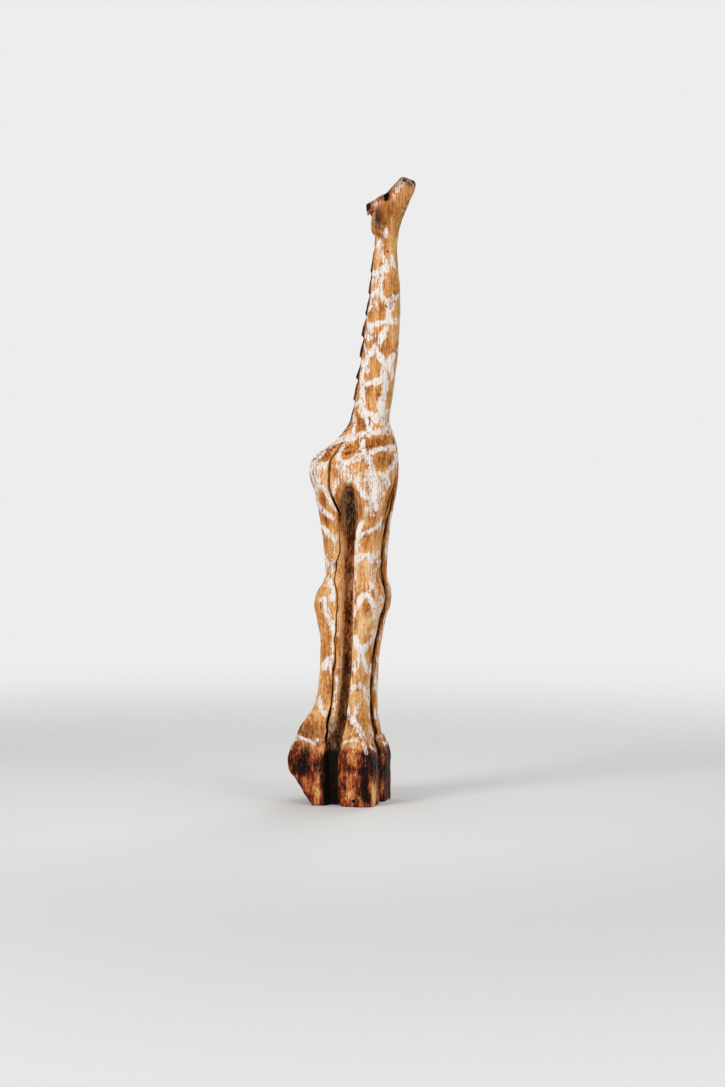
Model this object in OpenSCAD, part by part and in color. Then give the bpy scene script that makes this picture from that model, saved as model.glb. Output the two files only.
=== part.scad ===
// Giraffe statue carved from one upright log, looking up. Millimetres, +Z up, the giraffe faces +X,
// its right side is towards -Y, and the origin is under the middle of its box, on the ground.

/* [Statue] */
// Height from the saw-cut sole to the top of the muzzle
statue_h = 1300; // [900:10:1600]
// Points around each carved section
ring_points = 32; // [24:4:40]

/* [Legs] */
// Width of the slot between the left and the right legs
slot_w = 17; // [12:1:22]
// Depth of the groove between a hind and a front leg, from the outer face
groove_d = 22; // [16:1:26]
// How far the right front leg stands behind the left one
stagger = 5; // [0:1:8]

/* [Hooves] */
// Width across a pair of hooves
hooves_w = 162; // [154:1:170]
// Squareness of a hoof's section, where 2 is an ellipse
hoof_square = 4.5; // [3:0.5:6]

/* [Head] */
// Distance between the middles of the two horns
horn_spacing = 28; // [26:1:32]
// Width of one horn, side to side
horn_w = 20; // [16:1:22]
// How far an ear's outer face stands from the middle of the head
ear_reach = 40; // [36:1:44]

/* [Mane] */
// Width of the mane
mane_w = 15; // [10:1:18]
// Length of one cut tuft
tuft_pitch = 44; // [36:1:52]
// How far a tuft's lower end stands out of the neck
tuft_reach = 7; // [5:1:9]

/* [Tail] */
// Width of the tail above its tuft, wider than the slot that it lies in
tail_w = 22; // [20:1:26]

/* [Hidden] */

// Everything below is drawn for a statue 1300 high, then scaled to statue_h.
drawn_h = 1300;

WOOD = "#c98a4b";
STAINED = "#4a2a1c";
SCORCHED = "#6b3a22";

RIGHT = -1;
LEFT = 1;

// Heights of the cuts between the masses.
hoof_h = 140;
belly_h = 640;
neck_h = 802;
head_h = 1150;
groove_top = 680;
far = 300; // beyond any face of the statue
overcut = 3; // how far a groove is cut past the face of the web, which then is its floor

// Back and front of the timber in profile: [height, back, front, half width, squareness].
TIMBER = [
    [120, -122, 55, 79, 4.2],
    [140, -119, 52, 76, 4.2],
    [170, -105, 46, 69, 4.2],
    [200, -82, 43, 65, 4.2],
    [240, -72, 43, 63, 4.2],
    [300, -66, 46, 62, 4.2],
    [350, -67, 53, 63, 4.2],
    [385, -75, 61, 65, 4.0],
    [415, -82, 71, 66, 4.0],
    [445, -72, 72, 65, 4.0],
    [475, -57, 64, 62, 4.0],
    [540, -61, 67, 64, 3.6],
    [590, -69, 74, 68, 3.2],
    [640, -81, 85, 71, 2.7],
    [675, -92, 90, 72, 2.6],
    [705, -93, 92, 70, 2.5],
    [728, -79, 91, 64, 2.4],
    [750, -45, 88, 55, 2.4],
    [775, -19, 80, 46, 2.4],
    [802, -3, 73, 40, 2.4],
    [850, 4, 81, 36, 2.4],
    [900, 11, 87, 33, 2.4],
    [950, 19, 93, 31, 2.3],
    [1000, 26, 96, 29, 2.3],
    [1050, 32, 97, 28, 2.3],
    [1100, 36, 95, 26, 2.3],
    [1150, 42, 90, 24, 2.3],
    [1170, 43, 91, 24, 2.3]
];

// The head from the neck to the lips: [crown x, crown z, jaw x, jaw z, half width, squareness].
HEAD = [
    [42, 1150, 90, 1150, 24, 2.3],
    [43, 1180, 93, 1177, 25, 2.3],
    [47, 1212, 98, 1203, 28, 2.4],
    [53, 1238, 104, 1221, 29, 2.5],
    [62, 1257, 112, 1239, 27, 2.6],
    [73, 1270, 118, 1254, 24, 2.6],
    [84, 1282, 125, 1268, 21, 2.6],
    [95, 1294, 130, 1281, 19, 2.6],
    [102, 1300, 128, 1291, 13, 2.4]
];

// Middle of the groove between hind and front legs: [height, middle, half width, bevel on the hind side].
GROOVE = [
    [-20, -30, 12, 0],
    [100, -30, 12, 0],
    [140, -19, 8, 8],
    [180, -10, 6, 10],
    [300, -1, 7, 11],
    [430, 3, 7, 11],
    [540, 5, 8, 10],
    [600, 6, 13, 4],
    [640, 6, 13, 3],
    [664, 7, 9, 3],
    [680, 8, 5, 2]
];

// Feet: [height, back, front, inner half gap, outer half width as a share of hooves_w / 2].
FRONT_HOOF = [
    [0, -18, 63, 8, 1.0],
    [60, -18, 64, 8, 1.0],
    [98, -18, 64, 8, 1.0],
    [122, -17, 57, 8, 0.97],
    [140, -14, 51, 8, 0.92]
];
HIND_HOOF = [
    [0, -77, -42, 8, 0.96],
    [25, -96, -42, 8, 0.98],
    [50, -112, -42, 8, 1.0],
    [75, -127, -42, 8, 1.0],
    [98, -130, -42, 8, 1.0],
    [122, -124, -40, 8, 0.97],
    [140, -115, -35, 8, 0.92]
];

// The uncut heart of the log between the legs: [height, back, front, half width].
WEB = [
    [0, -72, 30, 56],
    [110, -84, 32, 56],
    [150, -78, 30, 50],
    [200, -58, 24, 44],
    [300, -44, 28, 40],
    [415, -52, 48, 43],
    [475, -36, 46, 40],
    [560, -38, 48, 44],
    [640, -52, 60, 49]
];

// Ear: [height, back, front, how far it stands out as a share of ear_reach].
EAR = [
    [1247, 63, 75, 0.72],
    [1234, 49, 77, 0.88],
    [1216, 43, 76, 1.0],
    [1199, 42, 70, 1.0],
    [1186, 42, 62, 0.94],
    [1177, 48, 57, 0.86]
];

// Tail down the back of the rump: [height, how far it stands behind the timber, share of tail_w].
TAIL = [
    [682, -3, 0.9],
    [660, 1, 1.0],
    [600, 3, 0.95],
    [540, 3, 0.9],
    [470, 3, 0.9],
    [440, 4, 1.1],
    [405, 4, 1.3],
    [370, 3, 1.1],
    [345, 0, 0.9]
];

// Catmull-Rom curve through four rows of numbers.
function spline(p0, p1, p2, p3, t) =
    0.5 * (2 * p1 + (p2 - p0) * t + (2 * p0 - 5 * p1 + 4 * p2 - p3) * t * t
           + (3 * p1 - p0 - 3 * p2 + p3) * t * t * t);

function row(rows, i) = rows[min(max(i, 0), len(rows) - 1)];

// The rows with steps - 1 new ones between each two.
function smooth(rows, steps) = [
    for (i = [0 : len(rows) - 2], k = [0 : steps - 1])
        spline(row(rows, i - 1), rows[i], rows[i + 1], row(rows, i + 2), k / steps),
    rows[len(rows) - 1]
];

// Straight-line value of a column at a height, from rows that start with their height.
function at_height(rows, column, z) = lookup(z, [for (r = rows) [r[0], r[column]]]);

function signed_power(v, p) = sign(v) * pow(abs(v), p);

// One closed ring between a back and a front point, [x, z] each, and between two sides in Y.
function oval_ring(back, front, y_low, y_high, square) = [
    for (i = [0 : ring_points - 1])
        let (a = 360 * i / ring_points,
             u = signed_power(cos(a), 2 / square),
             v = signed_power(sin(a), 2 / square),
             x = (back[0] + front[0]) / 2 + u * (front[0] - back[0]) / 2,
             z = (back[1] + front[1]) / 2 + u * (front[1] - back[1]) / 2)
            [x, (y_low + y_high) / 2 + v * (y_high - y_low) / 2, z]
];

// A closed skin over rings of equal length, from the lowest up.
module skin(rings) {
    n = len(rings[0]);
    last = len(rings) - 1;
    sides = [
        for (i = [0 : last - 1], j = [0 : n - 1])
            let (a = i * n + j, b = i * n + (j + 1) % n, c = b + n, d = a + n)
                each [[a, c, b], [a, d, c]]
    ];
    caps = [[for (j = [0 : n - 1]) j], [for (j = [n - 1 : -1 : 0]) last * n + j]];
    polyhedron(points = [for (r = rings) each r], faces = concat(sides, caps), convexity = 6);
}

// Keeps a carved node as the one mesh that its cuts leave, at statue_h.
module carved(colour) {
    color(colour)
        scale(statue_h / drawn_h)
            resize([0, 0, 0])
                children();
}

module slab(low, high) {
    translate([-far, -far, low])
        cube([2 * far, 2 * far, high - low]);
}

// The log's whole outer form from the hooves to the head, its front set back by lag below the belly.
module timber_form(lag = 0) {
    skin([
        for (r = smooth(TIMBER, 3))
            let (front = r[2] - lag * min(1, max(0, (belly_h - r[0]) / 60)))
                oval_ring([r[1], r[0]], [front, r[0]], -r[3], r[3], r[4])
    ]);
}

module head_form() {
    skin([for (r = smooth(HEAD, 3)) oval_ring([r[0], r[1]], [r[2], r[3]], -r[4], r[4], r[5])]);
}

// Four-cornered ring, anticlockwise from above.
function quad_ring(z, corners) = [for (c = corners) [c[0], c[1], z]];

// Groove between the hind and the front leg of one side, dying out on the belly.
module side_groove(side) {
    rings = [
        for (g = smooth(GROOVE, 2))
            let (z = g[0],
                 outer = at_height(TIMBER, 3, z),
                 fade = max(0, z - belly_h) / (groove_top - belly_h),
                 faded_d = groove_d * (1 - 0.9 * fade),
                 floor_y = z < belly_h - 10 ? at_height(WEB, 3, z) - overcut : outer - faded_d,
                 back = g[1] - g[2],
                 front = g[1] + g[2])
                quad_ring(z, [[back - g[3], -far / 2], [front, -far / 2], [front, -floor_y],
                              [back, -floor_y], [back - g[3], -outer]])
    ];
    mirror([0, side == LEFT ? 1 : 0, 0])
        skin(rings);
}

function slot_ring(z, back, front) =
    quad_ring(z, [[back, -slot_w / 2], [front, -slot_w / 2], [front, slot_w / 2], [back, slot_w / 2]]);

// Slot between the left and the right legs, dying out on the chest and on the rump.
module middle_slot() {
    chest = [
        for (z = [-20, 60, 140, 200, 300, 415, 475, 560, 640, 665, 685])
            let (floor_x = z < belly_h ? at_height(WEB, 2, z) - overcut
                                       : at_height(TIMBER, 2, z) - max(0, 25 - 0.6 * (z - belly_h)))
                slot_ring(z, floor_x, far)
    ];
    rump = [
        for (z = [-20, 60, 140, 200, 300, 415, 475, 560, 640, 655, 670])
            let (floor_x = z < belly_h ? at_height(WEB, 1, z) + overcut
                                       : at_height(TIMBER, 1, z) + max(0, 27 - 0.9 * (z - belly_h)))
                slot_ring(z, -far, floor_x)
    ];
    skin(chest);
    skin(rump);
}

module grooves() {
    side_groove(RIGHT);
    side_groove(LEFT);
    middle_slot();
}

module web_form(low, high) {
    rows = smooth(WEB, 2);
    intersection() {
        skin([for (w = rows) quad_ring(w[0], [[w[1], -w[3]], [w[2], -w[3]], [w[2], w[3]], [w[1], w[3]]])]);
        slab(low, high);
    }
}

// One quarter of the log: the ground of one leg, from the heart outwards.
module leg_quarter(is_front, side) {
    rings = [
        for (g = smooth(GROOVE, 2))
            let (inner = is_front ? g[1] : -far, outer = is_front ? far : g[1])
                quad_ring(g[0], [[inner, -far], [outer, -far], [outer, 0], [inner, 0]])
    ];
    mirror([0, side == LEFT ? 1 : 0, 0])
        skin(rings);
}

module leg(is_front, side) {
    carved(WOOD)
        difference() {
            intersection() {
                timber_form(is_front && side == RIGHT ? stagger : 0);
                leg_quarter(is_front, side);
                slab(hoof_h, belly_h);
            }
            grooves();
            web_form(0, belly_h);
        }
}

module hoof(is_front, side) {
    rows = smooth(is_front ? FRONT_HOOF : HIND_HOOF, 3);
    lag = is_front && side == RIGHT ? stagger : 0;
    carved(SCORCHED)
        difference() {
            mirror([0, side == LEFT ? 1 : 0, 0])
                skin([for (r = rows) oval_ring([r[1], r[0]], [r[2] - lag, r[0]],
                                               -r[4] * hooves_w / 2, -r[3], hoof_square)]);
            web_form(0, hoof_h);
        }
}

module leg_web() {
    carved(STAINED)
        intersection() {
            web_form(0, belly_h);
            union() {
                slab(0, hoof_h);
                timber_form();
            }
        }
}

module torso() {
    carved(WOOD)
        difference() {
            intersection() {
                timber_form();
                slab(belly_h, neck_h);
            }
            grooves();
        }
}

module neck() {
    carved(WOOD)
        intersection() {
            timber_form();
            slab(neck_h, head_h);
        }
}

module head() {
    carved(WOOD)
        head_form();
}

// A horn lies back from the forehead: a four-sided tapering peg with rounded corners.
module horn(side) {
    middle = horn_spacing / 2;
    carved(STAINED)
        difference() {
            mirror([0, side == LEFT ? 1 : 0, 0])
                skin([
                    for (r = [[28, 1243, 31, 1219, 0.92], [52, 1257, 52, 1233, 0.98],
                              [75, 1268, 72, 1243, 1.0], [86, 1268, 84, 1246, 0.9]])
                        oval_ring([r[0], r[1]], [r[2], r[3]],
                                  -middle - r[4] * horn_w / 2, -middle + r[4] * horn_w / 2, 4)
                ]);
            head_form();
        }
}

module ear(side) {
    rows = smooth([for (i = [len(EAR) - 1 : -1 : 0]) EAR[i]], 3);
    root_y = 18;
    cup_depth = 7;
    carved(WOOD)
        difference() {
            mirror([0, side == LEFT ? 1 : 0, 0])
                difference() {
                    skin([
                        for (r = rows)
                            oval_ring([r[1], r[0]], [r[2], r[0]], -r[3] * ear_reach, -root_y, 2.4)
                    ]);
                    translate([60, -ear_reach - 1, 1215])
                        rotate([0, 14, 0])
                            scale([7, cup_depth, 22])
                                sphere(1, $fn = 24);
                }
            head_form();
            timber_form();
        }
}

// The mane's profile, a row of tufts that each stand out more at the lower end.
module mane_profile() {
    mane_top = 1146;
    mane_end = 752;
    tufts = floor((mane_top - mane_end) / tuft_pitch);
    buried = 12;
    edge = [
        for (i = [0 : tufts - 1])
            let (high = mane_top - i * tuft_pitch,
                 low = high - tuft_pitch,
                 middle = (high + low) / 2,
                 grown = min(1, 0.55 + 0.15 * i) * (i == tufts - 1 ? 0.5 : 1))
                each [[at_height(TIMBER, 1, high) - 1, high - 1],
                      [at_height(TIMBER, 1, middle) - 0.7 * tuft_reach * grown, middle],
                      [at_height(TIMBER, 1, low + 4) - tuft_reach * grown, low + 3]]
    ];
    inner = [
        for (z = [mane_end - 5, 775, 802, 850, 900, 950, 1000, 1050, 1100, mane_top])
            [at_height(TIMBER, 1, z) + buried, z]
    ];
    polygon(concat(edge, inner));
}

module mane() {
    carved(STAINED)
        difference() {
            rotate([90, 0, 0])
                linear_extrude(height = mane_w, center = true)
                    mane_profile();
            timber_form();
        }
}

module tail() {
    rows = smooth([for (i = [len(TAIL) - 1 : -1 : 0]) TAIL[i]], 3);
    reach = 40; // far enough forwards to meet the web
    carved(STAINED)
        difference() {
            skin([
                for (r = rows)
                    let (back = at_height(TIMBER, 1, r[0]) - r[1])
                        oval_ring([back, r[0]], [back + reach, r[0]],
                                  -r[2] * tail_w / 2, r[2] * tail_w / 2, 2.6)
            ]);
            difference() {
                timber_form();
                grooves();
            }
            web_form(0, belly_h);
        }
}

head();
neck();
torso();
mane();
tail();
leg_web();
horn(RIGHT);  // right_horn
horn(LEFT);  // left_horn
ear(RIGHT);  // right_ear
ear(LEFT);  // left_ear
leg(true, RIGHT);  // front_right_leg
leg(true, LEFT);  // front_left_leg
leg(false, RIGHT);  // hind_right_leg
leg(false, LEFT);  // hind_left_leg
hoof(true, RIGHT);  // front_right_hoof
hoof(true, LEFT);  // front_left_hoof
hoof(false, RIGHT);  // hind_right_hoof
hoof(false, LEFT);  // hind_left_hoof
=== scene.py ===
"""A giraffe carved from one upright log: the skin is sculpted whole, then split into the carver's masses.

Lengths in the tables are millimetres. The giraffe faces +X, and its right side is towards -Y.
"""

import itertools
import math

import bmesh
import bpy
import numpy as np
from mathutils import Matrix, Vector
from mathutils.bvhtree import BVHTree
from mathutils.kdtree import KDTree


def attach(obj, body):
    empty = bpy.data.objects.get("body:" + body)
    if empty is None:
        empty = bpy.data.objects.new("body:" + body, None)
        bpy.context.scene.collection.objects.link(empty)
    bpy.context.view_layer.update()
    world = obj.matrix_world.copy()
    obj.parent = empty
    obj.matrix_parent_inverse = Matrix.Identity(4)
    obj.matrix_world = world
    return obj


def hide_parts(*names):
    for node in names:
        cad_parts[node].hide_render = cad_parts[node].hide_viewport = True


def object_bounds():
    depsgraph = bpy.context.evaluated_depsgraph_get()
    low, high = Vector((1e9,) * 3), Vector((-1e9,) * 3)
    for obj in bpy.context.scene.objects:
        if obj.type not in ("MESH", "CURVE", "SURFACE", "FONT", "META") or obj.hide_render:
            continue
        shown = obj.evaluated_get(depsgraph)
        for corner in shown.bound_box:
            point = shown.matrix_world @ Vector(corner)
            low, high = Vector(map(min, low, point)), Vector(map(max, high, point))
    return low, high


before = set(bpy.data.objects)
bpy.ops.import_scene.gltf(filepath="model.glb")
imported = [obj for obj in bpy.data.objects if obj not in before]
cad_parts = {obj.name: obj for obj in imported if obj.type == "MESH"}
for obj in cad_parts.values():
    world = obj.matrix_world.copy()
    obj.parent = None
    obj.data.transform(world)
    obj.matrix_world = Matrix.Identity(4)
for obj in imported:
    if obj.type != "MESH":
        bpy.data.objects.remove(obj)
cad_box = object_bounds()
scene = bpy.context.scene
MM = 0.001


# ---------------------------------------------------------------- camera

# The statue is seen from its right side, with the camera turned a little towards its chest.
TURN = math.radians(13)
ACROSS = Vector((math.cos(TURN), math.sin(TURN), 0))
OUTWARD = Vector((math.sin(TURN), -math.cos(TURN), 0))

# In metres: how far in front of its middle the statue is aimed at, how high, and where the camera stands.
AIM, AIM_HEIGHT, AWAY, CAMERA_HEIGHT = 0.0165, 0.541, 5.87, 0.815

camera = bpy.data.objects.new("camera", bpy.data.cameras.new("camera"))
scene.collection.objects.link(camera)
camera.location = ACROSS * AIM + OUTWARD * AWAY + Vector((0, 0, CAMERA_HEIGHT))
sight = ACROSS * AIM + Vector((0, 0, AIM_HEIGHT)) - camera.location
camera.rotation_euler = sight.to_track_quat("-Z", "Y").to_euler()
camera.data.sensor_fit = "VERTICAL"
camera.data.sensor_height = 36
camera.data.lens = 93.4
scene.camera = camera
scene.view_settings.view_transform = "Standard"


# ---------------------------------------------------------------- small tools


def new_object(name, mesh):
    made = bpy.data.objects.new(name, mesh)
    scene.collection.objects.link(made)
    return made


def points_of(mesh):
    """The mesh's points, in mm."""
    flat = np.empty(len(mesh.vertices) * 3, np.float32)
    mesh.vertices.foreach_get("co", flat)
    return flat.reshape(-1, 3).astype(float) / MM


def place_points(mesh, mm):
    """Moves the mesh's points to the given places, in mm."""
    mesh.vertices.foreach_set("co", (mm * MM).astype(np.float32).ravel())
    mesh.update()


def normals_of(mesh):
    flat = np.empty(len(mesh.vertices) * 3, np.float32)
    mesh.vertex_normals.foreach_get("vector", flat)
    return flat.reshape(-1, 3).astype(float)


def with_modifier(thing, kind, **settings):
    """Adds a modifier and applies it to the object's mesh."""
    modifier = thing.modifiers.new(kind, kind)
    for name, value in settings.items():
        setattr(modifier, name, value)
    graph = bpy.context.evaluated_depsgraph_get()
    mesh = bpy.data.meshes.new_from_object(thing.evaluated_get(graph), depsgraph=graph)
    thing.modifiers.clear()
    old = thing.data
    thing.data = mesh
    bpy.data.meshes.remove(old)
    return thing


def cut(thing, tool, operation):
    """Cuts one closed solid with another, keeping what the operation says."""
    return with_modifier(thing, "BOOLEAN", object=tool, operation=operation, solver="MANIFOLD")


def copy_of(thing, name):
    return new_object(name, thing.data.copy())


def drop(*things):
    for thing in things:
        bpy.data.objects.remove(thing)


def ease(value, low, high):
    """0 below low, 1 above high, and a smooth step between."""
    t = np.clip((value - low) / (high - low), 0, 1)
    return t * t * (3 - 2 * t)


def hashed(cell, seed):
    """A repeatable number from 0 to 1 for each whole-number cell."""
    n = cell.astype(np.int64)
    mixed = n[..., 0] * 73856093 ^ n[..., 1] * 19349663 ^ n[..., 2] * 83492791 ^ seed * 40503
    for shift, factor in ((15, 739981), (13, 912271), (16, 617)):
        mixed = (mixed ^ (mixed >> shift)) * factor & 0xFFFFFFFF
    return (mixed & 0xFFFFFF) / 0xFFFFFF


def drift(mm, spacing, seed):
    """Smooth unevenness from -1 to 1, with a lump about every `spacing` mm along X, Y and Z."""
    p = mm / np.asarray(spacing, float)
    cell = np.floor(p)
    f = p - cell
    f = f * f * (3 - 2 * f)
    total = 0
    for corner in itertools.product((0, 1), repeat=3):
        share = np.prod(np.where(np.array(corner) == 1, f, 1 - f), axis=-1)
        total = total + share * hashed(cell + corner, seed)
    return 2 * total - 1


def gouge_cuts(mm, spacing, seed):
    """Scoops left by a gouge, about `spacing` mm apart: 0 in the middle of each, and 1 on the ridge."""
    p = mm / np.asarray(spacing, float)
    cell = np.floor(p)
    nearest = np.full(len(mm), 9.0)
    for step in itertools.product((-1, 0, 1), repeat=3):
        c = cell + step
        jitter = np.stack([hashed(c, seed + k) for k in range(3)], axis=-1)
        far = ((p - c - 0.15 - 0.7 * jitter) ** 2).sum(axis=-1)
        nearest = np.minimum(far, nearest)
    return np.clip(nearest / 0.42, 0, 1)


def mound(x, z, middle, radii):
    """1 at the middle (x, z), fading to 0 past the radii."""
    return np.exp(-(((x - middle[0]) / radii[0]) ** 2) - ((z - middle[1]) / radii[1]) ** 2)


# ---------------------------------------------------------------- the log's measures, from the frame

LOOSE = ("mane", "tail", "right_horn", "left_horn", "right_ear", "left_ear", "leg_web")
LEGS = ("front_right", "front_left", "hind_right", "hind_left")
HOOF_TOP, BELLY, NECK_FOOT, NECK_TOP, TOP = 140, 640, 802, 1150, 1300
# The gouge's scoops on the body, neck and legs: across the log and along it.
BODY_SCOOP = (17, 17, 52)


def envelope():
    """How far the CAD solids reach to the back, front and side at each height, as lookups in mm."""
    mm = np.concatenate([points_of(o.data) for n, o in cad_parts.items() if n not in LOOSE])
    heights = np.arange(0, TOP + 1, 10)
    back, front, side = [], [], []
    for z in heights:
        near = mm[np.abs(mm[:, 2] - z) < 22]
        back.append(near[:, 0].min())
        front.append(near[:, 0].max())
        side.append(np.abs(near[:, 1]).max())
    return [lambda z, v=np.array(v): np.interp(z, heights, v) for v in (back, front, side)]


back_at, front_at, side_at = envelope()

# Middle of the groove between the hind and the front legs: its heights, and x at each.
GROOVE_Z = [0, 100, 140, 180, 300, 430, 540, 640, 680]
GROOVE_X = [-30, -30, -19, -10, -1, 3, 5, 6, 8]


def groove_at(z):
    return np.interp(z, GROOVE_Z, GROOVE_X)


# ---------------------------------------------------------------- sculpting the whole log


def fused_solids():
    """One skin around all the CAD solids, at a 2 mm pitch."""
    parts = bmesh.new()
    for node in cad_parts.values():
        parts.from_mesh(node.data)
    mesh = bpy.data.meshes.new("log")
    parts.to_mesh(mesh)
    parts.free()
    return with_modifier(new_object("log", mesh), "REMESH", mode="VOXEL", voxel_size=2 * MM)


def relaxed(mesh, mm, rounds, pull):
    """Points drawn towards the middle of their neighbours, so that machine-sharp edges soften."""
    flat = np.empty(len(mesh.edges) * 2, np.int32)
    mesh.edges.foreach_get("vertices", flat)
    a, b = flat.reshape(-1, 2).T
    count = np.bincount(flat, minlength=len(mm))[:, None]
    for _ in range(rounds):
        sums = [np.bincount(a, mm[b, k], len(mm)) + np.bincount(b, mm[a, k], len(mm)) for k in range(3)]
        total = np.stack(sums, axis=-1)
        mm = mm + pull[:, None] * (total / count - mm)
    return mm


# Knots: middle and radius.
KNOTS = [((-34, -54, 500), 8), ((16, -78, 14), 6), ((30, 62, 330), 7), ((-58, 52, 600), 9)]


def carve(log):
    """Gives the skin the softened edges, tool marks and hand-made unevenness of carved timber."""
    mesh = log.data
    mm = points_of(mesh)
    z = mm[:, 2]
    sole = z < 1.5
    head = ease(z, 1150, 1175)
    mane_or_tail = (np.abs(mm[:, 1]) < 14) & (mm[:, 0] < back_at(z) + 4)
    pull = 0.5 * (1 - 0.7 * head) * np.where(mane_or_tail, 0.25, 1)
    # The groove runs out on the belly in a wide shallow hollow.
    depth = side_at(z) - np.abs(mm[:, 1])
    shallow = ease(z, 560, 672) * (depth > 0) * (np.abs(mm[:, 0] - 6) < 32) * (z < 720)
    mm[:, 1] += np.sign(mm[:, 1]) * depth * 0.68 * shallow
    mm = relaxed(mesh, mm, 7, pull)
    mm = relaxed(mesh, mm, 30, 0.5 * (shallow > 0.02))
    place_points(mesh, mm)
    normals = normals_of(mesh)

    hoof = 1 - ease(z, 120, 150)
    body = (1 - hoof) * (1 - head)
    depth = 1.0 * drift(mm, (70, 70, 110), 1) + 0.8 * drift(mm, (26, 26, 50), 2)
    depth = depth + 0.45 * (1 - head) * drift(mm, (11, 11, 17), 3)
    # Gouge scoops: long and narrow on the body and legs, coarser on the hooves, small on the head.
    body_cut = gouge_cuts(mm, BODY_SCOOP, 11)
    hoof_cut = gouge_cuts(mm, (30, 30, 60), 23)
    head_cut = gouge_cuts(mm, (11, 11, 20), 37)
    depth = depth - body * 1.8 * (1 - body_cut)
    depth = depth - hoof * (
        3.0 * (1 - hoof_cut) + 0.9 * drift(mm, (7, 7, 40), 5) + 0.8 * drift(mm, (9, 9, 9), 9)
    )
    depth = depth - head * 1.2 * (1 - head_cut)
    # Short chops where the fetlocks spread into the hooves.
    chop = gouge_cuts(mm, (21, 21, 24), 53)
    depth = depth - 2.4 * (1 - chop) * ease(z, 105, 135) * (1 - ease(z, 172, 205))
    # Torn fibres run along the log.
    depth = depth + (1 - 0.6 * head) * 0.35 * drift(mm, (4, 4, 40), 6)
    # The hollow at the top of the groove is scooped deeper.
    x, y = mm[:, 0], mm[:, 1]
    depth = depth - 4 * (mound(x, z, (4, 618), (17, 48)) * (np.abs(y) > 40))
    # A knot stands proud, in a ring of torn fibres.
    for middle, size in KNOTS:
        away = np.linalg.norm((mm - middle) * (1, 0.25, 1), axis=1) / size
        depth = depth + 3 * np.exp(-((away / 0.8) ** 2)) - 1.8 * np.exp(-(((away - 1.3) / 0.3) ** 2))
    # The grooves between the legs are left rough.
    in_groove = ease(side_at(z) - np.abs(y), 6, 14) * (np.abs(x - groove_at(z)) < 18) * (z < 680)
    depth = depth + in_groove * (1.6 * drift(mm, (5, 5, 14), 8) + 1.2 * drift(mm, (9, 9, 30), 10))
    # Strands are cut down the mane and the tail with a fine gouge.
    strand = np.abs((y + 1.5 * drift(mm, (30, 30, 40), 14)) % 4.4 - 2.2) / 2.2
    depth = depth - 0.9 * (1 - strand) * mane_or_tail * (z > 345)
    mm = mm + normals * depth[:, None]
    mm[sole, 2] = 0
    low, high = (np.array(corner) / MM for corner in cad_box)
    place_points(mesh, np.clip(mm, low, high))
    return log


# Drying checks on the flank that is turned to the camera: (width, depth, [(across, height), ...]).
# `across` runs forwards along the flank, on a plane turned 13 degrees towards the chest.
# On the front and the back of the log it runs to the giraffe's left.
RIGHT_CHECKS = [
    (4.6, 30, [(-26, 752), (-33, 740), (-41, 728), (-49, 716), (-52, 700), (-53, 665), (-50, 648),
               (-44, 633), (-36, 618), (-31, 606), (-29, 592)]),
    (2.0, 20, [(-30, 572), (-31, 560), (-30, 536), (-32, 518), (-37, 506), (-37, 492), (-40, 480), (-41, 465),
               (-36, 445), (-36, 415), (-38, 386), (-38, 365), (-41, 344), (-40, 325)]),
    (3.0, 26, [(-40, 340), (-40, 322), (-41, 300), (-44, 272), (-46, 236), (-49, 200), (-52, 182)]),
    (5.2, 34, [(-50, 205), (-53, 190), (-56, 170), (-58, 145), (-59, 118)]),
    (4.0, 15, [(84, 684), (79, 655), (70, 628), (65, 605), (61, 580)]),
    (1.2, 5, [(30, 804), (32, 796), (30, 787)]),
]
LEFT_CHECKS = [
    (4.8, 24, [(-34, 740), (-46, 712), (-50, 680), (-47, 650), (-40, 622)]),
    (3.8, 18, [(-36, 470), (-38, 430), (-37, 380), (-41, 330), (-44, 280), (-48, 220), (-54, 180)]),
    (3.0, 12, [(30, 420), (33, 370), (31, 320), (34, 270)]),
]
BACK_CHECKS = [(4.0, 14, [(24, 560), (27, 500), (25, 440), (28, 380)])]

# A line cut with a knife: the mouth, from the corner down to the front of the lips.
MOUTH = [(2.0, 3, [(111, 1296), (116, 1292), (120, 1287), (124, 1282)])]

# Each side of the log: the way that `across` runs, and the way out of the wood.
FLANKS = {
    "right": (ACROSS, OUTWARD),
    "left": (Vector((ACROSS.x, -ACROSS.y, 0)), Vector((OUTWARD.x, -OUTWARD.y, 0))),
    "front": (Vector((0, 1, 0)), Vector((1, 0, 0))),
    "back": (Vector((0, 1, 0)), Vector((-1, 0, 0))),
}


def smooth_path(path, spacing):
    """Points about `spacing` mm apart on a smooth curve through the given ones."""
    p = np.array([path[0], *path, path[-1]], float)
    found = []
    for p0, p1, p2, p3 in zip(p, p[1:], p[2:], p[3:]):
        steps = max(1, round(np.linalg.norm(p2 - p1) / spacing))
        for t in np.arange(steps) / steps:
            bend = (2 * p0 - 5 * p1 + 4 * p2 - p3) * t * t + (3 * p1 - p0 - 3 * p2 + p3) * t**3
            found.append(0.5 * (2 * p1 + (p2 - p0) * t + bend))
    found.append(p[-1])
    return found


def on_surface(tree, flank, across, height):
    """Where a line square to a flank's plane meets the log, and the normal there, in metres."""
    along, outward = FLANKS[flank]
    start = along * across * MM + outward * 0.4 + Vector((0, 0, height * MM))
    place, normal, _, _ = tree.ray_cast(start, -outward)
    if place is None:
        place, normal, _, _ = tree.find_nearest(start - outward * 0.35)
    return place, normal


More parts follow.
